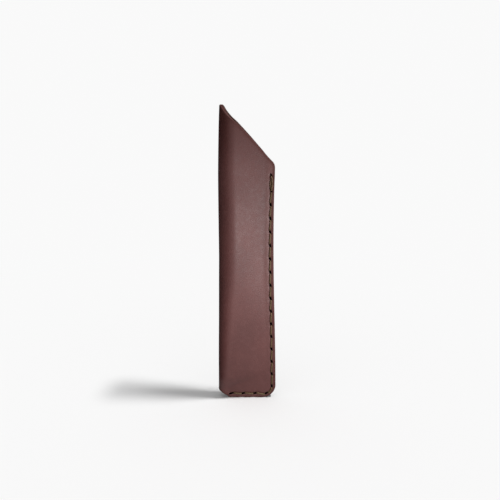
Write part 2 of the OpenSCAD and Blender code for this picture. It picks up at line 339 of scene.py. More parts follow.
@dataclass
class Seam:
    """Places of the slits, and the directions of the seam at each of them."""

    shape: SleeveShape
    corner_turn: float = 0.35
    slits: list[Array] = field(init=False)
    side_slits: int = field(init=False)

    def __post_init__(self) -> None:
        """Spreads the slits down the side and along the bottom."""
        s = self.shape
        top = s.mouth_z((2, 0.0)) - s.mouth_margin
        heights = self.spread(s.first_slit_z, top, s.side_pitch)[::-1]
        bottom = self.spread(
            s.body_w / 2 - s.bottom_start, s.cut_w + s.bottom_end - s.body_w / 2, s.bottom_pitch
        )
        inset = [mix(s.inset_foot, s.inset_top, z / heights[0]) for z in heights]
        self.side_slits = len(heights)
        self.slits = [np.array([float(s.edge_x(z)) - i, z]) for z, i in zip(heights, inset)]
        self.slits += [np.array([x, s.bottom_inset]) for x in bottom]

    @staticmethod
    def spread(start: float, end: float, pitch: float) -> Array:
        """Even places from start to end, about pitch apart."""
        return np.linspace(start, end, max(1, round(abs(end - start) / pitch)) + 1)

    @property
    def last(self) -> int:
        """Number of the last slit."""
        return len(self.slits) - 1

    def along(self, k: int) -> Array:
        """Direction of the seam at a slit, turned a little at the corner.

        Args:
            k: number of the slit.

        Returns:
            A direction of length 1, along X and Z.
        """
        n = self.side_slits
        side = unit(self.slits[min(k + 1, n - 1)] - self.slits[max(k - 1, 0)])
        line = side if k < n else np.array([-1.0, 0.0])
        turn = unit(self.slits[n] - self.slits[n - 1])
        return unit(line + self.corner_turn * turn) if k in (n - 1, n) else line

    def across(self, k: int) -> Array:
        """Direction across the seam at slit k."""
        t = self.along(k)
        return np.array([-t[1], t[0]])

    def at(self, k: int, p: Sequence[float]) -> Array:
        """Point at slit k, p being the distances along and across the seam and the depth."""
        q = self.slits[k] + self.along(k) * p[0] + self.across(k) * p[1]
        return np.array([q[0], p[2], q[1]])


@dataclass
class StitchPath:
    """Centre line of the thread, which passes every slit twice, once from each side."""

    seam: Seam
    thread_d: float = 0.9
    strand_gap: float = 1.1
    strand_lean: float = 0.16
    print_depth: float = 0.4
    play: float = 0.06
    side_play: float = 0.03
    cross_play: float = 0.02
    turn_r: float = 0.6
    leave_back: float = 1.65
    join_back: float = 1.85
    end_room: float = 0.3
    rounding: int = 3
    step: float = 0.14

    def __post_init__(self) -> None:
        """Sets the levels that the thread keeps on the two faces."""
        face_y = self.seam.shape.face_y
        self.front_y = -(face_y - self.print_depth + self.thread_d / 2 + self.play / 2)
        self.back_y = face_y + self.thread_d / 2 + self.play / 2
        self.strand_step = self.thread_d + self.side_play
        self.lane = self.strand_step - self.strand_lean

    def through(
        self, k: int, s: float, c: float, f: float, b: float, fl: float, bl: float
    ) -> list[Array]:
        """Points of a strand through slit k, from the front to the back.

        Args:
            k: number of the slit.
            s: distance of the strand from the slit's middle, along the seam.
            c: its distance across the seam.
            f: way it runs off along the seam on the front.
            b: way it runs off on the back.
            fl: its lane on the front.
            bl: its lane on the back.

        Returns:
            Eight points of the strand's line.
        """
        r, found = self.turn_r, []
        for deg in (0, 30, 60, 90):
            a = math.radians(deg)
            lane = mix(fl, c, float(soft(0, 70, deg)))
            rise = self.front_y + r * (1 - math.cos(a))
            found.append(self.seam.at(k, [s + f * r * (1 - math.sin(a)), lane, rise]))
        for deg in (0, 30, 60, 90):
            a = math.radians(deg)
            lane = mix(c, bl, float(soft(20, 90, deg)))
            rise = self.back_y - r * (1 - math.sin(a))
            found.append(self.seam.at(k, [s + b * r * (1 - math.cos(a)), lane, rise]))
        return found

    def to_back(self, k: int, bl: float | None = None) -> list[Array]:
        """Strand that comes down the front, goes through and leaves down the back."""
        lane = -self.lane if bl is None else bl
        return self.through(k, -self.strand_gap, -self.strand_lean, -1, 1, -self.strand_lean, lane)

    def to_front(self, k: int) -> list[Array]:
        """Strand that comes down the back, goes through and leaves down the front."""
        gap, lean = self.strand_gap, self.strand_lean
        return self.through(k, gap, lean, 1, -1, lean, self.lane)[::-1]

    def back_run(self, k: int) -> list[Array]:
        """Back stitch from one slit to the next.

        Args:
            k: number of the first slit.

        Returns:
            Two points between them.
        """
        return [
            self.seam.at(k, [self.leave_back, -self.lane, self.back_y]),
            self.seam.at(k + 1, [-self.join_back, self.lane + self.side_play, self.back_y]),
        ]

    def strand(self, k: int, front: bool) -> list[Array]:
        """Rest of one strand, down to its cut end in the last slit.

        Args:
            k: number of the slit that the strand has come to.
            front: whether it arrives on the front.

        Returns:
            Points of its line.
        """
        found: list[Array] = []
        while k < self.seam.last:
            found += self.to_back(k) + self.back_run(k) if front else self.to_front(k)
            k, front = k + 1, not front
        gap, lean = self.strand_gap, self.strand_lean
        if front:
            end_y = self.seam.shape.face_y + self.end_room
            return found + self.to_back(k)[:4] + [self.seam.at(k, [-gap, -lean, end_y])]
        return found + self.to_front(k)[:4] + [self.seam.at(k, [gap, lean, 0])]

    def line(self) -> Array:
        """The whole thread, with its middle in the second slit and its first stitch doubled.

        Each point is given along the seam, across it and in depth, from the slit that it is near.

        Returns:
            Points of the line, from one cut end to the other.
        """
        fy, by, at = self.front_y, self.back_y, self.seam.at
        out_of_1 = [
            [0, 0, -1.2], [-0.08, 0.05, -1.9], [-0.35, 0.15, -2.5], [-0.8, 0.3, -2.86],
            [-1.3, 0.32, fy - 0.84], [-2.2, 0.46, fy - 0.8], [-3.1, 0.56, fy - 0.26],
        ]  # fmt: skip
        into_0 = [
            [3.1, 0.56, fy - 0.26], [2.2, 0.46, fy - 0.88], [1.3, 0.3, fy - 0.98],
            [0.6, 0.2, fy - 0.86], [0.18, 0.05, fy - 0.45], [0, 0, fy + 0.15],
        ]  # fmt: skip
        out_of_0 = [
            [0, 0, 1.6], [0.06, 0.05, 2.3], [0.35, 0.15, 3.05], [0.8, 0.3, by + 0.95],
            [1.7, 0.05, by + 0.75], [2.7, -0.2, by + 0.12],
        ]  # fmt: skip
        into_1 = [
            [-2.8, -0.25, by + 0.12], [-1.9, -0.05, by + 0.75], [-0.2, 0.55, by + 0.98],
            [0.5, 0.45, by + 0.8], [0.95, 0.35, by + 0.25], [1.1, 0.3, by - 0.5],
        ]  # fmt: skip
        behind_1 = [
            [0, 0, 1.5], [-0.08, 0.1, by - 0.4], [-0.3, 0.35, by - 0.08], [-0.7, 0.6, by],
            [-1.7, 0.68, by],
        ]  # fmt: skip
        beside = [at(0, [2.5, -0.4, fy]), at(1, [-2.5, -0.4, fy])]
        first = [at(1, p) for p in out_of_1] + [at(0, p) for p in into_0]
        first += [at(0, p) for p in out_of_0] + [at(1, p) for p in into_1] + self.to_front(1)[4:8]
        gap, lean = self.strand_gap, self.strand_lean
        second = [at(1, p) for p in behind_1]
        second += self.through(0, gap, lean, 1, 1, lean, self.lane)[::-1]
        second += beside + self.to_back(1, -self.strand_step - self.cross_play)
        rest = self.back_run(1) + self.strand(2, False)
        return np.array((second + rest)[::-1] + first + self.strand(2, True))

    def smooth(self) -> Array:
        """Rounds the corners of the thread's line.

        Returns:
            Points of the line at even steps.
        """
        p = self.line()
        for _ in range(self.rounding):
            q = np.empty((2 * len(p) - 2, 3))
            q[0::2], q[1::2] = 0.75 * p[:-1] + 0.25 * p[1:], 0.25 * p[:-1] + 0.75 * p[1:]
            p = np.vstack([p[:1], q, p[-1:]])
        run = np.concatenate([[0], np.cumsum(np.linalg.norm(np.diff(p, axis=0), axis=1))])
        even = np.linspace(0, run[-1], round(run[-1] / self.step) + 1)
        return np.stack([np.interp(even, run, p[:, i]) for i in range(3)], -1)


def make_object(
    name: str, points: Array, faces: Sequence[Sequence[int]], slots: Sequence[int] | None = None
) -> Object:
    """Makes a mesh object from points in millimetres.

    Args:
        name: name of the object.
        points: its vertices.
        faces: its faces, as vertex numbers.
        slots: the material slot of each face.

    Returns:
        The new object, linked to the scene.
    """
    mesh = bpy.data.meshes.new(name)
    mesh.from_pydata((np.asarray(points) * MM).tolist(), [], [list(f) for f in faces])
    mesh.update()
    if slots is not None:
        mesh.polygons.foreach_set("material_index", np.asarray(slots, np.int32))
    mesh.polygons.foreach_set("use_smooth", np.ones(len(mesh.polygons), bool))
    made = bpy.data.objects.new(name, mesh)
    bpy.context.scene.collection.objects.link(made)
    return made


def baked(obj: Object) -> None:
    """Turns an object's modifiers into its own mesh.

    Args:
        obj: the object, which loses its modifiers.
    """
    graph = bpy.context.evaluated_depsgraph_get()
    mesh = bpy.data.meshes.new_from_object(obj.evaluated_get(graph))
    obj.modifiers.clear()
    obj.data = mesh


def keep_numbers(obj: Object, numbers: dict[str, Array]) -> None:
    """Keeps numbers on a mesh for its materials to read.

    Args:
        obj: the mesh object.
        numbers: a number for each vertex, under each name.
    """
    for name, values in numbers.items():
        attribute = obj.data.attributes.new(name, "FLOAT", "POINT")
        attribute.data.foreach_set("value", values.astype(np.float32))


@dataclass
class Nodes:
    """Small helper that adds and joins the nodes of one material."""

    material: Material

    def __post_init__(self) -> None:
        """Turns the material's nodes on."""
        self.material.use_nodes = True
        self.tree = self.material.node_tree
        self.shader = self.tree.nodes["Principled BSDF"]

    def add(self, kind: str, **values: object) -> bpy.types.Node:
        """Adds a node.

        Args:
            kind: type of the node.
            values: values of its sockets, with _ for a space, or else of its properties.

        Returns:
            The node.
        """
        node = self.tree.nodes.new(kind)
        for key, value in values.items():
            name = key.replace("_", " ")
            if name in node.inputs:
                node.inputs[name].default_value = value
            else:
                setattr(node, key, value)
        return node

    def join(self, out: Socket, into: Socket) -> None:
        """Joins two sockets."""
        self.tree.links.new(out, into)

    def place(self) -> Socket:
        """The point's place in the frame, in metres."""
        return self.add("ShaderNodeTexCoord").outputs["Object"]

    def along(self, axis: str) -> Socket:
        """The point's distance along one axis.

        Args:
            axis: X, Y or Z.

        Returns:
            The distance in metres.
        """
        node = self.add("ShaderNodeSeparateXYZ")
        self.join(self.place(), node.inputs[0])
        return node.outputs[axis]

    def noise(
        self, scale: float, detail: float = 2.0, rough: float = 0.5, at: Socket | None = None
    ) -> Socket:
        """Soft noise.

        Args:
            scale: waves to the metre.
            detail: layers of finer waves.
            rough: strength of the finer waves.
            at: where it is read, if that isn't the point's own place.

        Returns:
            The noise, from 0 to 1.
        """
        node = self.add("ShaderNodeTexNoise", Scale=scale, Detail=detail, Roughness=rough)
        self.join(at or self.place(), node.inputs["Vector"])
        return node.outputs["Fac"]

    def stretched(self, x: float, y: float, z: float) -> Socket:
        """The point's place, with each axis multiplied.

        Args:
            x: factor along X.
            y: factor along Y.
            z: factor along Z.

        Returns:
            The place.
        """
        node = self.add("ShaderNodeVectorMath", operation="MULTIPLY")
        self.join(self.place(), node.inputs[0])
        node.inputs[1].default_value = (x, y, z)
        return node.outputs[0]

    def attribute(self, name: str) -> Socket:
        """A number kept on the mesh's vertices."""
        return self.add("ShaderNodeAttribute", attribute_name=name).outputs["Fac"]

    def ramp(
        self, value: Socket, low: float, high: float, a: float = 0.0, b: float = 1.0
    ) -> Socket:
        """A soft step.

        Args:
            value: what it follows.
            low: value at which it starts.
            high: value at which it ends.
            a: result below low.
            b: result above high.

        Returns:
            The result.
        """
        node = self.add("ShaderNodeMapRange", interpolation_type="SMOOTHSTEP")
        self.join(value, node.inputs["Value"])
        for name, number in (("From Min", low), ("From Max", high), ("To Min", a), ("To Max", b)):
            node.inputs[name].default_value = number
        return node.outputs["Result"]

    def blend(self, share: Socket, a: Socket | Colour, b: Socket | Colour) -> Socket:
        """Blends two colours.

        Args:
            share: how much of the second there is.
            a: first colour.
            b: second colour.

        Returns:
            The blend.
        """
        node = self.add("ShaderNodeMix", data_type="RGBA")
        self.join(share, node.inputs["Factor"])
        for name, colour in (("A", a), ("B", b)):
            socket = [s for s in node.inputs if s.name == name and s.type == "RGBA"][0]
            if isinstance(colour, Socket):
                self.join(colour, socket)
            else:
                socket.default_value = (*colour, 1.0)
        return [s for s in node.outputs if s.type == "RGBA"][0]

    def maths(self, kind: str, a: Socket, b: Socket | float) -> Socket:
        """One step of arithmetic.

        Args:
            kind: the operation.
            a: first number.
            b: second number.

        Returns:
            The result.
        """
        node = self.add("ShaderNodeMath", operation=kind)
        self.join(a, node.inputs[0])
        if isinstance(b, Socket):
            self.join(b, node.inputs[1])
        else:
            node.inputs[1].default_value = b
        return node.outputs[0]

    def bump(self, height: Socket, depth: float, under: Socket | None = None) -> Socket:
        """A relief.

        Args:
            height: its height, from 0 to 1.
            depth: its depth in metres.
            under: relief that it lies on.

        Returns:
            The surface normal.
        """
        node = self.add("ShaderNodeBump", Strength=1.0, Distance=depth)
        self.join(height, node.inputs["Height"])
        if under is not None:
            self.join(under, node.inputs["Normal"])
        return node.outputs["Normal"]

    def fix(self, **values: object) -> None:
        """Sets sockets of the shader that are the same all over."""
        for key, value in values.items():
            self.shader.inputs[key.replace("_", " ")].default_value = value

    def finish(self, colour: Socket, rough: Socket, normal: Socket) -> None:
        """Joins the three driven sockets of the shader."""
        for name, out in (("Base Color", colour), ("Roughness", rough), ("Normal", normal)):
            self.join(out, self.shader.inputs[name])


class Finish:
    """What the finishes share: each makes a material and paints it in its own way."""

    def make(self, name: str) -> Material:
        """Makes the material.

        Args:
            name: its name.

        Returns:
            The painted material.
        """
        material = bpy.data.materials.new(name)
        self.paint(Nodes(material))
        return material

    def paint(self, n: Nodes) -> None:
        """Paints the material's nodes."""
        raise NotImplementedError


@dataclass(frozen=True)
class WaxedLeather(Finish):
    """Smooth vegetable-tanned grain side, dyed dark reddish brown, waxed and rubbed."""

    deep: Colour = (0.111, 0.039, 0.036)
    warm: Colour = (0.142, 0.051, 0.047)
    # Paler tone: random clouds, and also the painted light on the upper seam strip.
    worn_and_lit: Colour = (0.170, 0.070, 0.065)
    # Painted shade: the dark red that darkens the top towards the tip.
    tip_shade: Colour = (0.070, 0.013, 0.010)
    burnt: Colour = (0.085, 0.023, 0.019)
    # Dirt and painted shade at the slits and along the thread's print.
    soil_and_shade_tone: Colour = (0.020, 0.009, 0.006)
    rough: float = 0.46
    rim_rough: float = 0.3
    gloss: float = 0.34
    wax: float = 0.06
    wax_rough: float = 0.3
    mottle_waves: float = 70.0
    cloud_waves: float = 420.0
    cell_waves: float = 1500.0
    wrinkle_waves: float = 900.0
    pore_waves: float = 2100.0
    mottle_depth: float = 0.00012
    grain_depth: float = 0.000022
    pore_depth: float = 0.000014
    mottle_step: Span = (0.32, 0.7)
    cloud_step: Span = (0.45, 0.75)
    cloud_share: float = 0.35
    pore_step: Span = (0.35, 0.7)
    pore_share: float = 0.3
    # Painted light: where and how strongly the upper seam strip is made paler.
    lit_seam_x: Span = (0.0075, 0.0115)
    lit_seam_z: Span = (0.05, 0.1)
    lit_seam_share: float = 0.95
    # Painted shade: heights and strength of the darkening towards the tip.
    tip_shade_z: Span = (0.112, 0.150)
    tip_shade_share: float = 0.7
    cell_step: Span = (0.0, 0.35)
    wrinkle_share: float = 0.8
    rough_step: Span = (0.3, 0.75)
    smoother: float = 0.05
    rougher: float = 0.07

    def paint(self, n: Nodes) -> None:
        """Mottled dye, pores, grain, darker rim; painted light by the seam; painted shade at tip;
        dirt and shade at stitches.

        Args:
            n: nodes of the material.
        """
        mottle = n.noise(self.mottle_waves, 3, 0.55, n.stretched(1, 1, 0.55))
        cloud = n.noise(self.cloud_waves, 4, 0.6)
        pores = n.noise(self.pore_waves, 2, 0.6)
        colour = n.blend(n.ramp(mottle, *self.mottle_step), self.deep, self.warm)
        clouded = n.ramp(cloud, *self.cloud_step, 0.0, self.cloud_share)
        colour = n.blend(clouded, colour, self.worn_and_lit)
        pored = n.ramp(pores, *self.pore_step, 0.0, self.pore_share)
        colour = n.blend(pored, colour, self.deep)
        # Painted light: the upper seam strip is made paler, where the flat seam gets less light
        # than the flank.
        by_seam = n.ramp(n.along("X"), *self.lit_seam_x, 0.0, self.lit_seam_share)
        rubbed = n.maths("MULTIPLY", by_seam, n.ramp(n.along("Z"), *self.lit_seam_z))
        colour = n.blend(rubbed, colour, self.worn_and_lit)
        # Painted shade: the upper part darkened towards the tip, where the leather turns away from
        # the light.
        tip_shade = n.ramp(n.along("Z"), *self.tip_shade_z, 0.0, self.tip_shade_share)
        colour = n.blend(tip_shade, colour, self.tip_shade)
        colour = n.blend(n.attribute("rim"), colour, self.burnt)
        # Dirt and painted shade in the dips at the slits and along the thread's print.
        colour = n.blend(n.attribute("soil_and_shade"), colour, self.soil_and_shade_tone)
        cells = n.add("ShaderNodeTexVoronoi", feature="DISTANCE_TO_EDGE", Scale=self.cell_waves)
        n.join(n.place(), cells.inputs["Vector"])
        wrinkles = n.maths("MULTIPLY", n.noise(self.wrinkle_waves, 2, 0.5), self.wrinkle_share)
        grain = n.maths("ADD", n.ramp(cells.outputs["Distance"], *self.cell_step), wrinkles)
        normal = n.bump(mottle, self.mottle_depth)
        normal = n.bump(grain, self.grain_depth, normal)
        normal = n.bump(pores, self.pore_depth, normal)
        low, high = self.rough - self.smoother, self.rough + self.rougher
        rough = n.ramp(cloud, *self.rough_step, low, high)
        rough = n.maths("ADD", rough, n.maths("MULTIPLY", n.attribute("rim"), self.rim_rough))
        n.finish(colour, rough, normal)
        n.fix(Specular_IOR_Level=self.gloss, Sheen_Weight=0.0)
        n.fix(Coat_Weight=self.wax, Coat_Roughness=self.wax_rough)


@dataclass(frozen=True)
class FleshSide(Finish):
    """Brushed inner face of the leather, lighter and fibrous."""

    deep: Colour = (0.055, 0.022, 0.017)
    pale: Colour = (0.115, 0.054, 0.040)
    fibre_waves: float = 1300.0
    mottle_waves: float = 150.0
    fibre_depth: float = 0.00012
    fibre_step: Span = (0.3, 0.72)
    mottle_step: Span = (0.35, 0.8)
    mottle_share: float = 0.5
    rough_step: Span = (0.3, 0.8)
    rough: Span = (0.82, 0.95)
    gloss: float = 0.25
    fuzz: float = 0.08
    fuzz_rough: float = 0.5

    def paint(self, n: Nodes) -> None:
        """Short fibres with no gloss.

        Args:
            n: nodes of the material.
        """
        fibre = n.noise(self.fibre_waves, 5, 0.7, n.stretched(1.0, 1.0, 0.35))
        mottle = n.noise(self.mottle_waves, 3, 0.6)
        colour = n.blend(n.ramp(fibre, *self.fibre_step), self.deep, self.pale)
        mottled = n.ramp(mottle, *self.mottle_step, 0.0, self.mottle_share)
        colour = n.blend(mottled, colour, self.deep)
        rough = n.ramp(fibre, *self.rough_step, *self.rough)
        n.finish(colour, rough, n.bump(fibre, self.fibre_depth))
        n.fix(Specular_IOR_Level=self.gloss)
        n.fix(Sheen_Weight=self.fuzz, Sheen_Roughness=self.fuzz_rough)


@dataclass(frozen=True)
class BurnishedEdge(Finish):
    """Cut edge of the leather, rubbed round and waxed until it shines a little."""

    deep: Colour = (0.030, 0.009, 0.007)
    red: Colour = (0.085, 0.022, 0.018)
    layer_waves: float = 900.0
    patch_waves: float = 240.0
    layer_depth: float = 0.00004
    patch_depth: float = 0.00012
    layer_step: Span = (0.3, 0.7)
    patch_step: Span = (0.45, 0.75)
    patch_share: float = 0.45
    rough_step: Span = (0.3, 0.7)
    rough: Span = (0.66, 0.8)
    gloss: float = 0.15

    def paint(self, n: Nodes) -> None:
        """Layered fibres along the cut under a smooth wax.

        Args:
            n: nodes of the material.
        """
        layers = n.noise(self.layer_waves, 4, 0.6, n.stretched(0.45, 2.2, 0.45))
        patch = n.noise(self.patch_waves, 3, 0.55)
        colour = n.blend(n.ramp(layers, *self.layer_step), self.deep, self.red)
        patched = n.ramp(patch, *self.patch_step, 0.0, self.patch_share)
        colour = n.blend(patched, colour, self.deep)
        normal = n.bump(layers, self.layer_depth, n.bump(patch, self.patch_depth))
        n.finish(colour, n.ramp(patch, *self.rough_step, *self.rough), normal)
        n.fix(Specular_IOR_Level=self.gloss)


@dataclass(frozen=True)
class DullDark(Finish):
    """Very dark and without gloss: painted shade on the walls inside the awl slits, or black card.
    """

    tone: Colour = (0.010, 0.005, 0.004)

    def paint(self, n: Nodes) -> None:
        """One tone all over."""
        n.fix(Base_Color=(*self.tone, 1.0), Roughness=1.0, Specular_IOR_Level=0.0)


@dataclass(frozen=True)
class WaxedThread(Finish):
    """Olive-brown waxed thread laid from three strands."""

    # The dark tone is painted shade in the furrows and also random darker patches; the light tone
    # is painted light on the strands' ridges.
    dark: Colour = (0.052, 0.029, 0.014)
    light: Colour = (0.150, 0.090, 0.044)
    # Painted shade: the near black of the thread where it dives into a slit.
    slit_shade: Colour = (0.008, 0.005, 0.003)
    rough: float = 0.52
    sunk_rough: float = 0.4
    fibre_waves: float = 4200.0
    patch_waves: float = 700.0
    fibre_depth: float = 0.00004
    lit_ridge_step: Span = (0.05, 0.85)
    patch_step: Span = (0.35, 0.75)
    patch_share: float = 0.4
    rough_step: Span = (0.3, 0.7)
    smoother: float = 0.06
    rougher: float = 0.1
    gloss: float = 0.3

    def paint(self, n: Nodes) -> None:
        """Fine fibres, with painted shade in the furrows between the strands and inside the slits.

        Args:
            n: nodes of the material.
        """
        fibre = n.noise(self.fibre_waves, 3, 0.6)
        patch = n.noise(self.patch_waves, 2, 0.5)
        slit_shade = n.attribute("slit_shade")
        # Painted light on the strands' ridges, painted shade in the furrows between them.
        lit_ridge = n.ramp(n.attribute("lit_ridge"), *self.lit_ridge_step)
        colour = n.blend(lit_ridge, self.dark, self.light)
        patched = n.ramp(patch, *self.patch_step, 0.0, self.patch_share)
        colour = n.blend(patched, colour, self.dark)
        # Painted shade where the thread dives into a slit.
        colour = n.blend(slit_shade, colour, self.slit_shade)
        low, high = self.rough - self.smoother, self.rough + self.rougher
        rough = n.ramp(fibre, *self.rough_step, low, high)
        rough = n.maths("ADD", rough, n.maths("MULTIPLY", slit_shade, self.sunk_rough))
        n.finish(colour, rough, n.bump(fibre, self.fibre_depth))
        n.fix(Specular_IOR_Level=self.gloss)


@dataclass(frozen=True)
class DriedGlue(Finish):
    """Dried film of contact cement, stained by the leather."""

    dull: Colour = (0.11, 0.062, 0.034)
    clear: Colour = (0.19, 0.115, 0.062)
    blotch_waves: float = 800.0
    blotch_depth: float = 0.00005
    blotch_step: Span = (0.3, 0.7)
    rough: Span = (0.4, 0.6)

    def paint(self, n: Nodes) -> None:
        """A blotchy, slightly shiny film.

        Args:
            n: nodes of the material.
        """
        blotch = n.noise(self.blotch_waves, 3, 0.6)
        colour = n.blend(n.ramp(blotch, *self.blotch_step), self.dull, self.clear)
        rough = n.ramp(blotch, *self.blotch_step, *self.rough)
        n.finish(colour, rough, n.bump(blotch, self.blotch_depth))


@dataclass(frozen=True)
class HandWork:
    """Shallow unevenness of leather that was folded, glued and pulled by hand.

    The wave bends as it climbs, the ripple is finer, the pucker lies along the bottom seam, and
    the shoulder stands where the flank turns down to the side seam.
    """

    shape: SleeveShape
    back_shift: float = 1.7
    wave: float = 0.10
    wave_x: float = 7.5
    wave_z: float = 19.0
    sway: float = 0.6
    sway_z: float = 27.0
    ripple: float = 0.05
    ripple_x: float = 0.3
    ripple_z: float = 8.3
    ripple_shift: float = 2.1
    foot_fade: Span = (4.0, 18.0)
    seam_fade: Span = (3.0, 8.0)
    pucker: float = 0.03
    pucker_x: float = 1.35
    pucker_z: float = 0.55
    pucker_at: Span = (9.0, 4.5)
    pucker_fade: Span = (3.0, 6.0)
    shoulder: float = 0.15
    shoulder_w: float = 2.6
    shoulder_fade: Span = (4.0, 8.0)

    def height(self, x: Array, z: Array, face: Face) -> Array:
        """How far the outer face stands out.

        Args:
            x: places along X.
            z: heights.
            face: the face that the points lie on.

        Returns:
            The distances from the smooth face.
        """
        p = self.back_shift if face is Face.BACK else 0.0
        inside = self.shape.body_w / 2 - x
        sway = self.sway * np.sin(z / self.sway_z + p)
        wave = self.wave * np.sin(z / self.wave_z + p) * np.sin(x / self.wave_x + sway)
        wave += self.ripple * np.sin(z / self.ripple_z + self.ripple_shift * p + self.ripple_x * x)
        wave = wave * soft(*self.foot_fade, z) * soft(*self.seam_fade, inside)
        middle, reach = self.pucker_at
        pucker = self.pucker * np.sin(x * self.pucker_x + z * self.pucker_z + p)
        pucker = pucker * np.exp(-(((z - middle) / reach) ** 2))
        wave = wave + pucker * soft(*self.pucker_fade, inside)
        part = self.shape.section(z)
        turn = part["spine"] + part["w"] - part["flat"] - part["lead"] * np.sin(part["angle"]) / 2
        shoulder = self.shoulder * np.exp(-(((x - turn) / self.shoulder_w) ** 2))
        return wave + shoulder * soft(*self.shoulder_fade, z)


@dataclass
class StitchPrint:
    """What the thread and the awl slits leave on the outer face: prints, dips, and dirt with
    painted shade.
    """

    shape: SleeveShape
    seam: Seam
    path: Array
    thread_r: float = 0.45
    touching: Span = (0.25, 0.2)
    print_play: float = 0.06
    print_limit: float = 0.75
    front_pull: float = 0.2
    back_pull: float = 0.12
    pull_w: float = 0.95
    slit_half_l: float = 0.5
    slit_dip: float = 0.3
    dip_w: float = 0.9
    # Darkness and reach of the dirt and painted shade by the slits and along the thread.
    slit_soil_and_shade: Span = (0.6, 0.45)
    thread_soil_and_shade: Span = (0.45, 0.5)
    seam_band: Span = (4.2, 4.6)
    batch: int = 2500

    def relief(self, x: Array, z: Array, face: Face) -> tuple[Array, Array]:
        """How far the thread and the slits press the outer face in.

        Args:
            x: places along X.
            z: heights.
            face: the face that the points lie on.

        Returns:
            The depths, and how dark the dirt and painted shade make the leather there.
        """
        s, side = self.shape, float(face.value)
        high, (under, over) = self.path[:, 1] * side, self.touching
        line = self.path[(high > s.face_y - under) & (high < s.face_y + self.thread_r + over)]
        depth, soil_and_shade = np.zeros_like(x), np.zeros_like(x)
        most = self.front_pull if face is Face.FRONT else self.back_pull
        (dark_s, wide_s), (dark_t, wide_t) = self.slit_soil_and_shade, self.thread_soil_and_shade
        band = np.flatnonzero((x > s.edge_x(z) - self.seam_band[0]) | (z < self.seam_band[1]))
        for part in np.array_split(band, max(1, len(band) // self.batch)):
            dx = x[part, None] - line[None, :, 0]
            dz = z[part, None] - line[None, :, 2]
            c2 = dx * dx + dz * dz
            level = s.face_y - line[None, :, 1] * side
            reach = self.thread_r + self.print_play
            press = level + np.sqrt(np.maximum(0, reach**2 - c2))
            press = np.where(c2 < reach**2, press, 0).max(1)
            c = np.sqrt(c2.min(1))
            pull = most * np.exp(-((c / self.pull_w) ** 2))
            hole = np.full(len(part), FAR_OFF)
            for k, q in enumerate(self.seam.slits):
                t, a = self.seam.along(k), self.seam.across(k)
                u = (x[part] - q[0]) * t[0] + (z[part] - q[1]) * t[1]
                v = (x[part] - q[0]) * a[0] + (z[part] - q[1]) * a[1]
                hole = np.minimum(hole, np.hypot(np.maximum(0, np.abs(u) - self.slit_half_l), v))
            dip = self.slit_dip * np.exp(-((hole / self.dip_w) ** 2))
            depth[part] = np.minimum(np.maximum(press, pull + dip), self.print_limit)
            # Dirt and painted shade around the slits and along the thread's print.
            soil_and_shade[part] = dark_s * np.exp(-((hole / wide_s) ** 2))
            soil_and_shade[part] += dark_t * np.exp(-((c / wide_t) ** 4))
        return depth, np.clip(soil_and_shade, 0, 1)


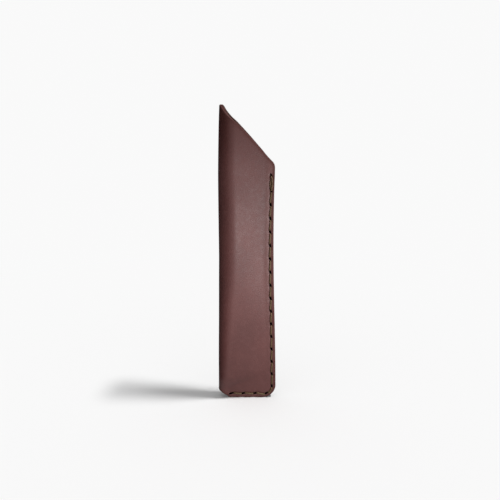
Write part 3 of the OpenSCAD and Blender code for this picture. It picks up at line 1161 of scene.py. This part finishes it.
@dataclass
class LeatherWrap:
    """The folded leather panel, with domed edges, stitch prints and awl slits."""

    shape: SleeveShape
    seam: Seam
    path: Array
    rim_r: float = 0.5
    foot_rim_r: float = 0.28
    foot_rim_z: Span = (8.0, 14.0)
    inner_rim_r: float = 0.5
    sewn_rim_r: float = 0.14
    sewn_side: Span = (0.2, -0.6)
    sewn_low: Span = (0.4, -0.4)
    rim_reach: float = 3.4
    side_reach: float = 1.6
    rim_fade: Span = (1.1, 0.6)
    print_fade: float = 0.5
    bend_cols: int = 20
    face_cols: int = 50
    side_marks: tuple[float, ...] = (0, 0.03, 0.08, 0.16, 0.26, 0.38, 0.52, 0.68)
    side_step: Span = (0.15, 3.1)
    seam_step: float = 0.3
    end_marks: tuple[float, ...] = (0, 0.03, 0.08, 0.17, 0.3, 0.46, 0.66, 0.9, 1.2)
    outer_steps: tuple[Span, ...] = ((0.16, 3.5), (0.26, 6.0), (0.36, 8.0))
    inner_steps: tuple[Span, ...] = ((1.0, 8.0),)
    short_col: float = 40.0
    mouth_stretch: float = 1.3
    outer_rows: int = 330
    inner_rows: int = 56
    wall_rows: int = 5
    bend_marks: int = 260
    face_marks: int = 700
    edge_marks: int = 3000
    slit_reach: float = 1.9
    slit_half_w: float = 0.56
    slit_bow: float = 1.25
    slit_lean: Span = (1.1, 0.3)
    slit_floor: float = 0.6
    blade_end: float = 5.0
    blade_points: int = 20
    crease: float = 48.0

    def __post_init__(self) -> None:
        """Prepares what the hand and the seam do to the outer face."""
        self.hand = HandWork(self.shape)
        self.prints = StitchPrint(self.shape, self.seam, self.path)

    def columns(self) -> list[Column]:
        """Lays out the columns of half the panel.

        Returns:
            Columns from the fold to the stitched edge, as half_point takes them.
        """
        steps = [self.side_step, (self.seam_step, self.shape.side_seam_w)]
        seam = gather(self.side_marks, steps)
        bends = [(0, 90 * i / self.bend_cols) for i in range(self.bend_cols + 1)]
        faces = [(1, i / self.face_cols) for i in range(1, self.face_cols)]
        return bends + faces + [(2, float(d)) for d in seam[::-1]]

    def rows(self, foot: float, mouth: float, outer: bool) -> Array:
        """Heights of a column's points, close together at both ends.

        Args:
            foot: height of the foot there.
            mouth: height of the mouth there.
            outer: whether the outer side is meant, which has more points.

        Returns:
            The heights in rising order.
        """
        steps = self.outer_steps if outer else self.inner_steps
        low = foot + gather(self.end_marks, steps) * min(1.0, (mouth - foot) / self.short_col)
        high = mouth - self.mouth_stretch * np.array(self.end_marks)[::-1]
        count = self.outer_rows if outer else self.inner_rows
        return np.concatenate([low[:-1], np.linspace(low[-1], high[0], count), high[1:]])

    def outline_tree(self) -> KDTree:
        """Gathers the panel's cut edge, in the middle of the leather.

        Returns:
            A search tree over its points.
        """
        s, found = self.shape, []
        dense = [(0, float(a)) for a in np.linspace(0, 90, self.bend_marks)]
        dense += [(1, float(u)) for u in np.linspace(0, 1, self.face_marks)[1:]]
        nearer = np.linspace(1, 0, self.bend_marks)[1:] ** 2
        dense += [(2, float(d)) for d in s.side_seam_w * nearer]
        for col in dense:
            for z in (s.foot_z(col), s.mouth_z(col)):
                found.append(s.half_point(col, np.array([z]))[0][0])
        edge = (2, 0.0)
        z = np.linspace(s.foot_z(edge), s.mouth_z(edge), self.edge_marks)
        found += list(s.half_point(edge, z)[0])
        tree = KDTree(len(found))
        for i, p in enumerate(found):
            tree.insert(p, i)
        tree.balance()
        return tree

    def offsets(
        self, mid_pts: Array, near: Array, outer: bool, face: Face
    ) -> tuple[Array, Array]:
        """Distance of the surface from the leather's middle, and how dark it is there.

        Args:
            mid_pts: points in the middle of the leather, on the back half.
            near: their distances from the cut edge.
            outer: whether the grain side is meant.
            face: the face that the points lie on.

        Returns:
            Distances along the outward normal, and the dirt and painted shade around the slits and
            the thread.
        """
        s = self.shape
        x, z = mid_pts[:, 0], mid_pts[:, 2]
        if outer:
            r = mix(self.foot_rim_r, self.rim_r, soft(*self.foot_rim_z, z))
        else:
            low = soft(*self.sewn_low, z - s.bottom_seam_h)
            sewn = np.maximum(soft(*self.sewn_side, s.edge_x(z) - s.side_seam_w - x), low)
            r = mix(self.inner_rim_r, self.sewn_rim_r, sewn)
        u = np.clip(1 - near / r, 0, 1)
        drop = r * (1 - np.sqrt(1 - u * u))
        if not outer:
            return -s.mid + drop, np.zeros_like(x)
        depth, soil_and_shade = self.prints.relief(x, z, face)
        raised = self.hand.height(x, z, face)
        return s.mid - drop - depth * (1 - self.print_fade * u) + raised, soil_and_shade

    def skin(self) -> Object:
        """Makes the whole panel as one closed mesh, without its slits.

        Returns:
            The panel, with its rim and its soil kept on its vertices.
        """
        s, cols, tree, wall = self.shape, self.columns(), self.outline_tree(), self.wall_rows
        fade_o, fade_i = self.rim_fade
        n_out, n_in = (len(self.rows(0.0, s.tip_h, outer)) for outer in (True, False))
        loops: dict[Face, list[Array]] = {Face.FRONT: [], Face.BACK: []}
        marks: dict[Face, list[Array]] = {Face.FRONT: [], Face.BACK: []}
        for col in cols:
            foot, mouth = s.foot_z(col), s.mouth_z(col)
            parts = []
            for outer in (True, False):
                z = self.rows(foot, mouth, outer)
                pts, slope, _ = s.half_point(col, z)
                near = np.full(len(z), FAR_OFF)
                from_end = np.minimum(z - foot, mouth - z)
                by_side = col[0] == 2 and col[1] < self.side_reach
                for i in np.flatnonzero(by_side | (from_end < self.rim_reach)):
                    near[i] = tree.find(pts[i])[2]
                if col == (2, 0.0):
                    near[:] = 0
                near[0] = near[-1] = 0
                normal = np.stack([-np.sin(slope), np.cos(slope), 0 * slope], -1)
                parts.append((pts, normal, near))
            for face in Face:
                (po, no, do), (pi, ni, di) = parts
                off_o, soil_and_shade = self.offsets(po, do, True, face)
                off_i, _ = self.offsets(pi, di, False, face)
                skin, lining = po + no * off_o[:, None], (pi + ni * off_i[:, None])[::-1]
                share = np.linspace(0, 1, wall + 2)[1:-1, None]
                top, low = mix(skin[-1], lining[0], share), mix(lining[-1], skin[0], share)
                loop = np.vstack([skin, top, lining, low])
                loop[:, 1] *= face.value
                ones = np.ones(wall)
                rim_o, rim_i = np.exp(-((do / fade_o) ** 2)), np.exp(-((di[::-1] / fade_i) ** 2))
                rim = np.concatenate([rim_o, ones, rim_i, ones])
                soil_and_shade = np.concatenate([soil_and_shade, 0 * ones, 0 * di, 0 * ones])
                loops[face].append(loop)
                marks[face].append(np.stack([rim, soil_and_shade], -1))
        order = [(Face.BACK, i) for i in range(len(cols) - 1, 0, -1)]
        order += [(Face.FRONT, i) for i in range(len(cols))]
        points = np.concatenate([loops[f][i] for f, i in order])
        mark = np.concatenate([marks[f][i] for f, i in order])
        m, count = n_out + n_in + 2 * wall, len(order)
        quads = strip(count, m)
        j = np.tile(np.arange(m), count - 1)
        layer = np.select(
            [j < n_out - 1, j < n_out + wall, j < n_out + wall + n_in - 1],
            [Layer.GRAIN.value, Layer.EDGE.value, Layer.FLESH.value],
            Layer.EDGE.value,
        )
        faces = quads.tolist()
        faces += self.end_faces(0, n_out, n_in, wall, m, True)
        faces += self.end_faces((count - 1) * m, n_out, n_in, wall, m, False)
        slots = np.concatenate([layer, np.full(len(faces) - len(quads), Layer.EDGE.value)])
        made = make_object("leather_panel", points, faces, slots)
        # Keeps the rim, and the dirt with painted shade by the stitches, for the grain's colour.
        keep_numbers(made, {"rim": mark[:, 0], "soil_and_shade": mark[:, 1]})
        return made

    @staticmethod
    def end_faces(
        start: int, n_out: int, n_in: int, wall: int, m: int, flip: bool
    ) -> list[list[int]]:
        """Faces that close the stitched edge between the outer and the inner rows of one layer.

        Args:
            start: number of the loop's first point.
            n_out: rows of the outer side.
            n_in: rows of the inner side.
            wall: rows between them at the mouth and at the foot.
            m: points of the loop.
            flip: whether the faces turn the other way.

        Returns:
            The faces.
        """
        outer = list(range(n_out))
        inner = [m - wall - 1 - i for i in range(n_in)]
        found, j = [], 0
        for i in range(n_out - 1):
            want = round((i + 1) / (n_out - 1) * (n_in - 1))
            if want > j:
                found.append([outer[i], outer[i + 1], inner[want], inner[j]])
                j = want
            else:
                found.append([outer[i], outer[i + 1], inner[j]])
        found.append([outer[-1], *range(n_out, n_out + wall), inner[-1]])
        found.append([inner[0], *range(m - wall, m), outer[0]])
        faces = [[start + i for i in f] for f in found]
        return [f[::-1] for f in faces] if flip else faces

    def cutter(self) -> Object:
        """Makes almond-shaped blades, two for each slit, which stop where the thread fills it.

        Returns:
            All blades as one object.
        """
        points, faces, n = [], [], self.blade_points
        lean = unit(self.slit_lean)
        for k, q in enumerate(self.seam.slits):
            t, a = self.seam.along(k), self.seam.across(k)
            ring = []
            for i in range(n):
                turn = 2 * math.pi * i / n
                u = self.slit_reach * math.cos(turn)
                bow = abs(math.sin(turn)) ** self.slit_bow
                v = self.slit_half_w * math.copysign(bow, math.sin(turn))
                ring.append(q + t * (u * lean[0] - v * lean[1]) + a * (u * lean[1] + v * lean[0]))
            for y0, y1 in ((-self.blade_end, -self.slit_floor), (self.slit_floor, self.blade_end)):
                base = len(points)
                points += [[p[0], y, p[1]] for y in (y0, y1) for p in ring]
                faces += (base + strip(2, n)).tolist()
                faces += [[base + i for i in range(n)][::-1], [base + n + i for i in range(n)]]
        return make_object("slit_blades", np.array(points), faces)

    def build(self) -> Object:
        """Builds the panel, cuts its slits and dresses it.

        Returns:
            The panel, which replaces the leather's node.
        """
        panel, blades = self.skin(), self.cutter()
        for name, finish in (
            ("waxed_grain", WaxedLeather()),
            ("brushed_flesh_side", FleshSide()),
            ("burnished_edge", BurnishedEdge()),
        ):
            panel.data.materials.append(finish.make(name))
        # The walls inside the slits are painted near black as shade.
        slit = DullDark().make("slit_wall_painted_shade")
        for piece in (panel, blades):
            piece.data.materials.append(slit)
            self.outward(piece)
        cut = panel.modifiers.new("slits", "BOOLEAN")
        cut.operation, cut.solver, cut.object = "DIFFERENCE", "MANIFOLD", blades
        baked(panel)
        bpy.data.objects.remove(blades)
        panel.data.set_sharp_from_angle(angle=math.radians(self.crease))
        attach(panel, "root")
        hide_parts("leather_wrap")
        return panel

    @staticmethod
    def outward(obj: Object) -> None:
        """Turns a closed mesh's faces outwards if they look inwards.

        Args:
            obj: the mesh object.
        """
        me = obj.data
        me.calc_loop_triangles()
        co, tri = np.zeros(len(me.vertices) * 3), np.zeros(len(me.loop_triangles) * 3, np.int32)
        me.vertices.foreach_get("co", co)
        me.loop_triangles.foreach_get("vertices", tri)
        a, b, c = co.reshape(-1, 3)[tri].reshape(-1, 3, 3).transpose(1, 0, 2)
        if np.einsum("ij,ij->i", a, np.cross(b, c)).sum() < 0:
            me.flip_normals()


@dataclass
class SaddleThread:
    """The single length of waxed thread, laid from three strands."""

    path: Array
    radius: float = 0.43
    sides: int = 18
    lay: float = 3.2
    strands: int = 3
    furrow: float = 0.09
    lobe_shape: float = 0.8
    lobe_rise: float = 0.3
    furrow_shape: float = 1.6
    cut_end: float = 0.6
    # Painted shade: the distances from the seam's middle over which the thread turns near black
    # inside a slit.
    slit_shade_y: Span = (1.95, 1.5)

    def build(self) -> Object:
        """Sweeps the laid section along the thread's line and dresses it.

        Returns:
            The thread, which replaces its node.
        """
        p = self.path
        t = np.gradient(p, axis=0)
        t /= np.linalg.norm(t, axis=1)[:, None]
        u = unit(np.cross(t[0], np.eye(3)[np.argmin(np.abs(t[0]))]))
        rings, lit_ridge, slit_shade = [], [], []
        run = np.concatenate([[0], np.cumsum(np.linalg.norm(np.diff(p, axis=0), axis=1))])
        turns = 2 * math.pi * np.arange(self.sides) / self.sides
        for i, centre in enumerate(p):
            u = unit(u - np.dot(u, t[i]) * t[i])
            v = np.cross(t[i], u)
            phase = self.strands * (turns - 2 * math.pi * run[i] / self.lay)
            lobe = np.abs(np.cos(phase / 2)) ** self.lobe_shape
            dent = self.furrow_shape * (1 - lobe) ** self.furrow_shape
            r = self.radius * (1 + self.furrow * (self.lobe_rise - dent))
            if i in (0, len(p) - 1):
                r = r * self.cut_end
            rings.append(centre + np.outer(r * np.cos(turns), u) + np.outer(r * np.sin(turns), v))
            # How far each point lies out on a strand's ridge, for the painted light and shade of
            # its colour.
            lit_ridge.append(lobe)
            # Painted shade where the thread dives into a slit.
            slit_shade.append(np.full(self.sides, float(soft(*self.slit_shade_y, abs(centre[1])))))
        n, m = self.sides, len(p)
        faces = strip(m, n).tolist()
        faces += [list(range(n))[::-1], [(m - 1) * n + i for i in range(n)]]
        made = make_object("waxed_thread", np.concatenate(rings), faces)
        keep_numbers(made, {"lit_ridge": np.concatenate(lit_ridge), "slit_shade": np.concatenate(slit_shade)})
        made.data.materials.append(WaxedThread().make("olive_waxed_thread"))
        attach(made, "root")
        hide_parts("saddle_thread")
        return made


@dataclass
class SeamGlue:
    """The film between the two layers of the seam, which keeps its construction shape."""

    node: str = "seam_glue"

    def build(self) -> Object:
        """Dresses the film.

        Returns:
            The film, which is its own node.
        """
        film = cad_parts[self.node]
        film.data.materials.clear()
        film.data.materials.append(DriedGlue().make("dried_contact_cement"))
        return film


@dataclass(frozen=True)
class SoftBox:
    """The lamp in front: its place, size and level, in millimetres and degrees."""

    far: float = 140.0
    high: float = 60.0
    azimuth: float = 32.0
    width: float = 100.0
    height: float = 60.0
    spread: float = 110.0
    level: float = 0.3


@dataclass
class Studio:
    """Camera, pale floor and soft light, in millimetres and degrees; fade and clip in metres."""

    pieces: Sequence[Object]
    aim: tuple[float, float, float] = (1.53, 0.0, 79.65)
    distance: float = 347.52
    elevation: float = 14.5
    lens: float = 49.87
    sensor: float = 36.0
    clip: Span = (0.01, 20.0)
    floor_half: float = 6000.0
    fade: Span = (0.12, 0.3)
    paper: float = 0.95
    ambient: float = 0.42
    bounce: float = 0.2
    key_level: float = 0.68
    key_azimuth: float = 83.5
    key_elevation: float = 67.0
    key_turns: tuple[float, ...] = (-8.0, -4.0, 0.0, 4.0, 8.0)
    key_spread: float = 5.0
    box: SoftBox = SoftBox()
    card_profile: tuple[Span, ...] = ((-27.0, 0.3), (-60.0, 0.3), (-60.0, 600.0))
    card_y: Span = (-95.0, 500.0)

    def camera(self) -> Object:
        """Places the camera at the photograph's viewing angle.

        Returns:
            The camera.
        """
        data = bpy.data.cameras.new("view")
        data.lens, data.sensor_width = self.lens, self.sensor
        data.clip_start, data.clip_end = self.clip
        cam = bpy.data.objects.new("view", data)
        bpy.context.scene.collection.objects.link(cam)
        e = math.radians(self.elevation)
        back = Vector((0.0, -math.cos(e), math.sin(e)))
        cam.location = (Vector(self.aim) + back * self.distance) * MM
        cam.rotation_mode = "QUATERNION"
        cam.rotation_quaternion = (-back).to_track_quat("-Z", "Y")
        bpy.context.scene.camera = cam
        return cam

    @staticmethod
    def seen(tree: bpy.types.NodeTree) -> Socket:
        """Tells rays that show the surroundings themselves from rays of their light.

        Args:
            tree: nodes of a material or of the world.

        Returns:
            1 for a camera, glossy or transmission ray, and 0 for any other.
        """
        path = tree.nodes.new("ShaderNodeLightPath")
        found = path.outputs["Is Camera Ray"]
        for name in ("Is Glossy Ray", "Is Transmission Ray"):
            either = tree.nodes.new("ShaderNodeMath")
            either.operation = "MAXIMUM"
            tree.links.new(found, either.inputs[0])
            tree.links.new(path.outputs[name], either.inputs[1])
            found = either.outputs[0]
        return found

    def floor(self) -> Object:
        """Lays a wide pale floor that keeps the object's shadow.

        Returns:
            The floor.
        """
        signs = ((-1, -1), (1, -1), (1, 1), (-1, 1))
        corners = np.array([[x, y, 0] for x, y in signs]) * self.floor_half
        floor = make_object("floor", corners, [[0, 1, 2, 3]])
        material = bpy.data.materials.new("pale_floor")
        n = Nodes(material)
        n.fix(Roughness=1.0, Specular_IOR_Level=0.0)
        seen = self.seen(n.tree)
        light = self.key_level * math.sin(math.radians(self.key_elevation)) + self.ambient
        colour = n.blend(seen, (self.bounce,) * 3, (self.paper / light,) * 3)
        n.join(colour, n.shader.inputs["Base Color"])
        away = n.add("ShaderNodeVectorMath", operation="LENGTH")
        n.join(n.place(), away.inputs[0])
        far = n.maths("MULTIPLY", n.ramp(away.outputs["Value"], *self.fade), seen)
        paper = n.add("ShaderNodeEmission", Strength=self.paper)
        join = n.add("ShaderNodeMixShader")
        for out, into in ((far, 0), (n.shader.outputs[0], 1), (paper.outputs[0], 2)):
            n.join(out, join.inputs[into])
        n.join(join.outputs[0], n.tree.nodes["Material Output"].inputs["Surface"])
        floor.data.materials.append(material)
        return floor

    def card(self) -> Object:
        """Stands a bent black card on the left, which only shows in the sheen of the fold.

        Returns:
            The card.
        """
        corners = np.array([[x, y, z] for y in self.card_y for x, z in self.card_profile])
        card = make_object("black_card", corners, [[0, 1, 4, 3], [1, 2, 5, 4]])
        card.data.materials.append(DullDark((0.01, 0.01, 0.01)).make("black_card"))
        card.visible_camera = card.visible_diffuse = card.visible_shadow = False
        return card

    def world(self) -> None:
        """Pale surroundings that fill the shadows."""
        world = bpy.data.worlds.new("surroundings")
        bpy.context.scene.world = world
        world.use_nodes = True
        tree = world.node_tree
        background = tree.nodes["Background"]
        pick = tree.nodes.new("ShaderNodeMix")
        pick.data_type = "FLOAT"
        tree.links.new(self.seen(tree), pick.inputs["Factor"])
        pick.inputs["A"].default_value = self.ambient
        pick.inputs["B"].default_value = self.paper
        tree.links.new(pick.outputs["Result"], background.inputs["Strength"])
        background.inputs["Color"].default_value = (1, 1, 1, 1)

    @staticmethod
    def ray(azimuth: float, elevation: float) -> Vector:
        """Direction towards a lamp, azimuth 0 being in front of the sleeve and 90 on its right."""
        a, e = math.radians(azimuth), math.radians(elevation)
        return Vector((math.sin(a) * math.cos(e), -math.cos(a) * math.cos(e), math.sin(e)))

    def lamp(self, name: str, kind: str, towards: Vector, power: float) -> Object:
        """Makes a lamp that shines from one direction.

        Args:
            name: name of the lamp.
            kind: kind of the lamp.
            towards: direction from the sleeve to the lamp.
            power: strength of the lamp, in Blender's own unit.

        Returns:
            The lamp, which stands at the origin.
        """
        data = bpy.data.lights.new(name, kind)
        data.energy = power
        lamp = bpy.data.objects.new(name, data)
        bpy.context.scene.collection.objects.link(lamp)
        lamp.rotation_mode = "QUATERNION"
        lamp.rotation_quaternion = (-towards).to_track_quat("-Z", "Y")
        lamp.visible_camera = False
        return lamp

    def key(self) -> None:
        """A strip of light on the right, high up, which throws the soft shadow on the floor."""
        for turn in self.key_turns:
            towards = self.ray(self.key_azimuth + turn, self.key_elevation)
            power = self.key_level * math.pi / len(self.key_turns)
            lamp = self.lamp("key", "SUN", towards, power)
            lamp.data.angle = math.radians(self.key_spread)

    def front(self) -> None:
        """A soft box in front on the right, which lights the pieces alone."""
        box = self.box
        towards = self.ray(box.azimuth, 0.0)
        lamp = self.lamp("front", "AREA", towards, box.level * (math.pi * box.far * MM) ** 2)
        lamp.location = (towards * box.far + Vector((0, 0, box.high))) * MM
        lamp.data.shape = "RECTANGLE"
        lamp.data.size, lamp.data.size_y = box.width * MM, box.height * MM
        lamp.data.spread = math.radians(box.spread)
        lit = bpy.data.collections.new("lit_pieces")
        for piece in self.pieces:
            lit.objects.link(piece)
        lamp.light_linking.receiver_collection = lit

    def build(self) -> None:
        """Sets the whole studio up."""
        bpy.context.scene.view_settings.view_transform = "Standard"
        self.camera()
        self.floor()
        self.card()
        self.world()
        self.key()
        self.front()


def main() -> None:
    """Builds the pieces in order and reports each."""
    logging.basicConfig(level=logging.INFO, format="%(name)s: %(message)s")
    shape = SleeveShape()
    seam = Seam(shape)
    path = StitchPath(seam).smooth()
    steps: list[tuple[str, Callable[[], Object]]] = [
        ("leather", LeatherWrap(shape, seam, path).build),
        ("thread", SaddleThread(path).build),
        ("glue", SeamGlue().build),
    ]
    pieces = []
    for name, build in steps:
        pieces.append(build())
        log.info("%s: %s, %d faces", name, pieces[-1].name, len(pieces[-1].data.polygons))
    Studio(pieces).build()


if __name__ == "__main__":
    main()
